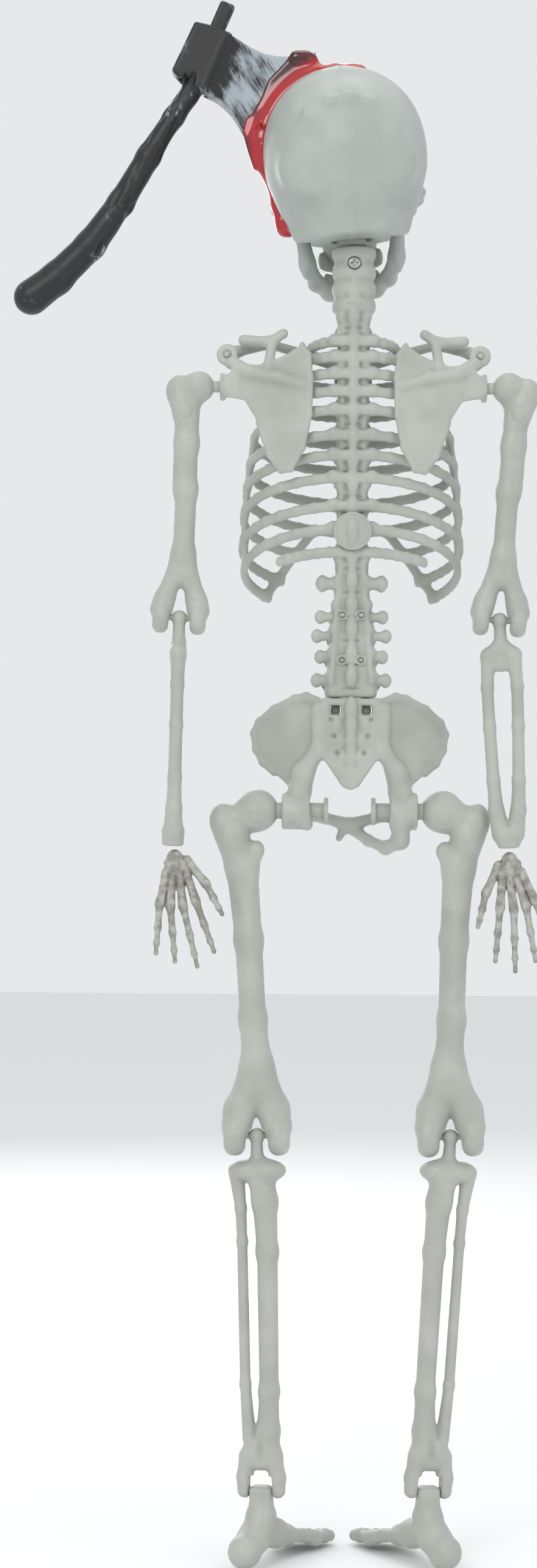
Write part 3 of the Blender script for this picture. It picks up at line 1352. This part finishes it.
class SKELETON_OT_skull(bpy.types.Operator):
    """Builds the two shells of the skull"""

    bl_idname = "skeleton.skull"
    bl_label = "Build the skull"

    def execute(self, context):
        step = grain(1.05)
        clay = skull_clay(step)
        for name, side in SIDES:
            shell = clay.copy().keep(lambda x, y, z: -0.45 - side * x + 0 * (y + z), 0.1)
            in_axe = turned(
                plate([(6, -25), (6, 15), (68, 28), (74, 26), (74, -60), (6, -27)], 0, 2.2, 0.1),
                Matrix.Diagonal((1000,) * 3 + (1,)) @ head_matrix().inverted() @ axe_matrix()
                @ Matrix.Diagonal((MM,) * 3 + (1,)),
            )
            shell.cut(in_axe, 0.6)
            piece = cast(shell.skin(), "bone_skull_" + name, head_matrix(), "head",
                         ["skull_" + name], "skull_plastic", step)
            require(len(piece.data.polygons), "the skull")
        return {"FINISHED"}


class SKELETON_OT_jaw(bpy.types.Operator):
    """Builds the lower jaw"""

    bl_idname = "skeleton.jaw"
    bl_label = "Build the jaw"

    def execute(self, context):
        step = grain(0.9)
        cast(jaw_clay(step).skin(), "bone_jaw", head_matrix(), "jaw", ["jaw"],
             "skull_plastic", step)
        return {"FINISHED"}


class SKELETON_OT_axe(bpy.types.Operator):
    """Builds the toy axe"""

    bl_idname = "skeleton.axe"
    bl_label = "Build the axe"

    def execute(self, context):
        step = grain(0.9)
        skin = axe_clay(step).skin(1)
        blade = np.clip((skin[0][:, 0] - 8) / 14, 0, 1) * np.clip((skin[0][:, 2] + 62) / 6, 0, 1)
        cast(skin, "toy_axe", axe_matrix(), "head", ["axe"], "axe_plastic", step,
             {"blade": blade})
        return {"FINISHED"}


class SKELETON_OT_blood(bpy.types.Operator):
    """Builds the cast blood where the axe meets the skull"""

    bl_idname = "skeleton.blood"
    bl_label = "Build the blood"

    def execute(self, context):
        step = grain(0.8)
        skin = blood_clay(step).skin(3)
        points = skin[0]
        out = (np.sqrt((points[:, 0] / 48.3) ** 2 + ((points[:, 2] - 77) / 47) ** 2) - 1) * 48
        thick = np.clip((out - 5.5) / 5, 0, 1)
        thick *= 1 - np.exp(-(((points[:, 2] - 94) / 6.5) ** 2))
        thick *= np.clip((points[:, 2] - 58) / 8, 0, 1)
        cast(skin, "blood_splash_cast", head_matrix(), "head", ["blood_splash"],
             "blood_resin", step, {"thick": thick})
        return {"FINISHED"}


class SKELETON_OT_spine(bpy.types.Operator):
    """Builds the back half of the spine with its ribs, and the front half"""

    bl_idname = "skeleton.spine"
    bl_label = "Build the spine"

    def execute(self, context):
        step = grain()
        for name, shaped in (("spine_back", spine_back_clay), ("spine_front", spine_front_clay)):
            cast(shaped(step).skin(), "bone_" + name, Matrix.Identity(4), "torso", [name],
                 "bone_plastic", step)
        return {"FINISHED"}


class SKELETON_OT_chest(bpy.types.Operator):
    """Builds the front of the rib cage with the collar bones"""

    bl_idname = "skeleton.chest"
    bl_label = "Build the chest"

    def execute(self, context):
        step = grain()
        cast(chest_clay(step).skin(), "bone_chest", Matrix.Identity(4), "torso", ["chest_front"],
             "bone_plastic", step)
        return {"FINISHED"}


class SKELETON_OT_shoulder_blades(bpy.types.Operator):
    """Builds the two shoulder blades"""

    bl_idname = "skeleton.shoulder_blades"
    bl_label = "Build the shoulder blades"

    def execute(self, context):
        step = grain(0.8)
        skin = shoulder_blade_clay(step).skin()
        for name, side in SIDES:
            node = "shoulder_blade_" + name
            cast(skin, "bone_" + node, side_matrix(side), "torso", [node], "bone_plastic", step)
        return {"FINISHED"}


class SKELETON_OT_hip_bone(bpy.types.Operator):
    """Builds the hip bone"""

    bl_idname = "skeleton.hip_bone"
    bl_label = "Build the hip bone"

    def execute(self, context):
        step = grain(0.95)
        cast(hip_bone_clay(step).skin(), "bone_hip", Matrix.Identity(4), "torso", ["hip_bone"],
             "bone_plastic", step)
        return {"FINISHED"}


def lean(top, bottom, side):
    return math.atan2((bottom.x - top.x) * side, top.z - bottom.z)


def limb_points(name):
    return {key: joint_place(f"{key}_{name}") for key in
            ("shoulder", "elbow", "wrist", "hip", "knee", "ankle")}


class SKELETON_OT_arms(bpy.types.Operator):
    """Builds the upper arms, forearms and hands"""

    bl_idname = "skeleton.arms"
    bl_label = "Build the arms"

    def execute(self, context):
        step = grain(0.85)
        back, front = halves(upper_arm_clay(step))
        hand = hand_clay(grain(0.62)).skin()
        for name, side in SIDES:
            at = limb_points(name)
            upper = bone_matrix(at["shoulder"], at["elbow"], side)
            for half, skin in (("back", back), ("front", front)):
                node = f"upper_arm_{half}_{name}"
                cast(skin, "bone_" + node, upper, "upper_arm_" + name, [node],
                     "bone_plastic", step)
            lower = bone_matrix(at["elbow"], at["wrist"], side)
            bend = lean(at["elbow"], at["wrist"], side) - lean(at["shoulder"], at["elbow"], side)
            cast(forearm_clay(step, bend, side == LEFT).skin(), "bone_forearm_" + name, lower,
                 f"forearm_{name}_body", ["forearm_" + name], "bone_plastic", step)
            lower.translation = at["wrist"]
            if side == LEFT:
                lower = lower @ Matrix.Rotation(math.radians(HAND_TURN), 4, "Y")
            cast(hand, "bone_hand_" + name, lower, f"hand_{name}_body", ["hand_" + name],
                 "hand_plastic", grain(0.62))
        return {"FINISHED"}


class SKELETON_OT_legs(bpy.types.Operator):
    """Builds the thighs, shins and feet"""

    bl_idname = "skeleton.legs"
    bl_label = "Build the legs"

    def execute(self, context):
        step = grain()
        thighs = halves(thigh_clay(step))
        foot = foot_clay(grain(0.9)).skin()
        for name, side in SIDES:
            at = limb_points(name)
            upper = bone_matrix(at["hip"], at["knee"], side)
            for half, skin in zip(("back", "front"), thighs):
                node = f"thigh_{half}_{name}"
                cast(skin, "bone_" + node, upper, "thigh_" + name, [node], "bone_plastic", step)
            bend = lean(at["knee"], at["ankle"], side) - lean(at["hip"], at["knee"], side)
            lower = bone_matrix(at["knee"], at["ankle"], side)
            lower = lower @ Matrix.Rotation(math.radians(-SHIN_TURN), 4, "Z")
            for half, skin in zip(("back", "front"), halves(shin_clay(grain(0.9), bend))):
                node = f"shin_{half}_{name}"
                cast(skin, "bone_" + node, lower, "shin_" + name, [node],
                     "bone_plastic", grain(0.9))
            ankle = Matrix.Translation(at["ankle"]) @ side_matrix(side)
            ankle = ankle @ Matrix.Rotation(math.radians(-FOOT_TURN), 4, "Z")
            cast(foot, "bone_foot_" + name, ankle, f"foot_{name}_body", ["foot_" + name],
                 "bone_plastic", grain(0.9))
        return {"FINISHED"}


class SKELETON_OT_fasteners(bpy.types.Operator):
    """Builds the neck screw and the button, and gives the hidden pegs their plastic"""

    bl_idname = "skeleton.fasteners"
    bl_label = "Build the fasteners"

    def execute(self, context):
        step = grain(0.3)
        cast(screw_clay(step).skin(1), "steel_neck_screw", Matrix.Identity(4), "torso",
             ["neck_screw"], "screw_steel", step)
        step = grain(0.45)
        cast(button_clay(step).skin(1), "bone_tie_button", Matrix.Identity(4), "torso",
             ["tie_button"], "bone_plastic", step)
        pegs = [f"{part}_peg_{name}" for part in ("shoulder", "hip") for name, _ in SIDES]
        for name in pegs + ["neck_post"]:
            dress(name, bone_material())
        return {"FINISHED"}


FLOOR_GAP = 0.002                   # the floor lies this far below the feet
CAMERA_PLACE = (0.049, 2.2, -0.283)
CAMERA_ROLL = 0.45                  # degrees
VIEW_HALF_HEIGHT = 0.4714           # half of what the camera sees at the figure
LIGHTS_AIM = (0.0, 0.0, -0.28)
LIGHTS = (                          # name, place, size, power
    ("Key", (0.7, 2.0, 0.9), 0.9, 13),
    ("Fill", (-1.6, 1.6, 0.0), 1.6, 4),
    ("Front", (0.6, -2.0, 0.6), 1.4, 14),
    ("Top", (0.0, 0.0, 1.6), 1.2, 8),
)


class SKELETON_OT_stage(bpy.types.Operator):
    """Sets the floor, the studio lights and the camera"""

    bl_idname = "skeleton.stage"
    bl_label = "Set the stage"

    def execute(self, context):
        low = Vector(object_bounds()[0])
        bpy.ops.mesh.primitive_plane_add(size=12, location=(0, 0, low.z - FLOOR_GAP))
        floor = context.object
        floor.name = "floor"
        pale = bpy.data.materials.new("Pale floor")
        pale.use_nodes = True
        shader = pale.node_tree.nodes["Principled BSDF"]
        shader.inputs["Base Color"].default_value = (0.86, 0.87, 0.875, 1)
        shader.inputs["Roughness"].default_value = 0.85
        floor.data.materials.append(pale)
        floor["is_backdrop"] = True
        world = bpy.data.worlds.new("Studio")
        context.scene.world = world
        world.use_nodes = True
        background = world.node_tree.nodes["Background"]
        background.inputs["Color"].default_value = (0.97, 0.985, 1.0, 1)
        background.inputs["Strength"].default_value = 0.82 * looks().light
        middle = Vector(LIGHTS_AIM)
        for name, place, size, power in LIGHTS:
            light = bpy.data.lights.new(name, "AREA")
            light.size = size
            light.energy = power * looks().light
            lamp = bpy.data.objects.new(name, light)
            context.scene.collection.objects.link(lamp)
            lamp.location = place
            lamp.rotation_euler = (middle - lamp.location).to_track_quat("-Z", "Y").to_euler()
            lamp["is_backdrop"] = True
        lens = bpy.data.cameras.new("Camera")
        lens.sensor_fit = "VERTICAL"
        lens.angle = 2 * math.atan(VIEW_HALF_HEIGHT / CAMERA_PLACE[1])
        lens.clip_start = 0.05
        camera = bpy.data.objects.new("Camera", lens)
        context.scene.collection.objects.link(camera)
        turn = Matrix.Rotation(math.pi, 4, "Z") @ Matrix.Rotation(math.pi / 2, 4, "X")
        roll = Matrix.Rotation(math.radians(CAMERA_ROLL), 4, "Z")
        camera.matrix_world = Matrix.Translation(CAMERA_PLACE) @ turn @ roll
        context.scene.camera = camera
        context.scene.view_settings.view_transform = "Standard"
        return {"FINISHED"}


OPERATORS = (
    SKELETON_OT_skull, SKELETON_OT_jaw, SKELETON_OT_axe, SKELETON_OT_blood, SKELETON_OT_spine,
    SKELETON_OT_chest, SKELETON_OT_shoulder_blades, SKELETON_OT_hip_bone, SKELETON_OT_arms,
    SKELETON_OT_legs, SKELETON_OT_fasteners, SKELETON_OT_stage,
)


class SKELETON_PT_panel(bpy.types.Panel):
    """Lists the figure's settings and operators"""

    bl_idname = "SKELETON_PT_panel"
    bl_label = "Hanging Skeleton"
    bl_space_type = "VIEW_3D"
    bl_region_type = "UI"
    bl_category = "Skeleton"

    def draw(self, context):
        settings = context.scene.skeleton_looks
        for key in settings.bl_rna.properties.keys():
            if key not in ("rna_type", "name"):
                self.layout.prop(settings, key)
        for operator in OPERATORS:
            self.layout.operator(operator.bl_idname)


CLASSES = (SkeletonLooks, *OPERATORS, SKELETON_PT_panel)


def register():
    for cls in CLASSES:
        bpy.utils.register_class(cls)
    bpy.types.Scene.skeleton_looks = bpy.props.PointerProperty(
        type=SkeletonLooks, name="Skeleton looks", description="Settings of the hanging skeleton"
    )


def unregister():
    del bpy.types.Scene.skeleton_looks
    for cls in reversed(CLASSES):
        bpy.utils.unregister_class(cls)


def main():
    register()
    build_plastic_group()
    build_brush_group()
    build_blood_group()
    for operator in OPERATORS:
        group, name = operator.bl_idname.split(".")
        result = getattr(getattr(bpy.ops, group), name)()
        require("FINISHED" in result, operator.bl_label)


if __name__ == "__main__":
    main()
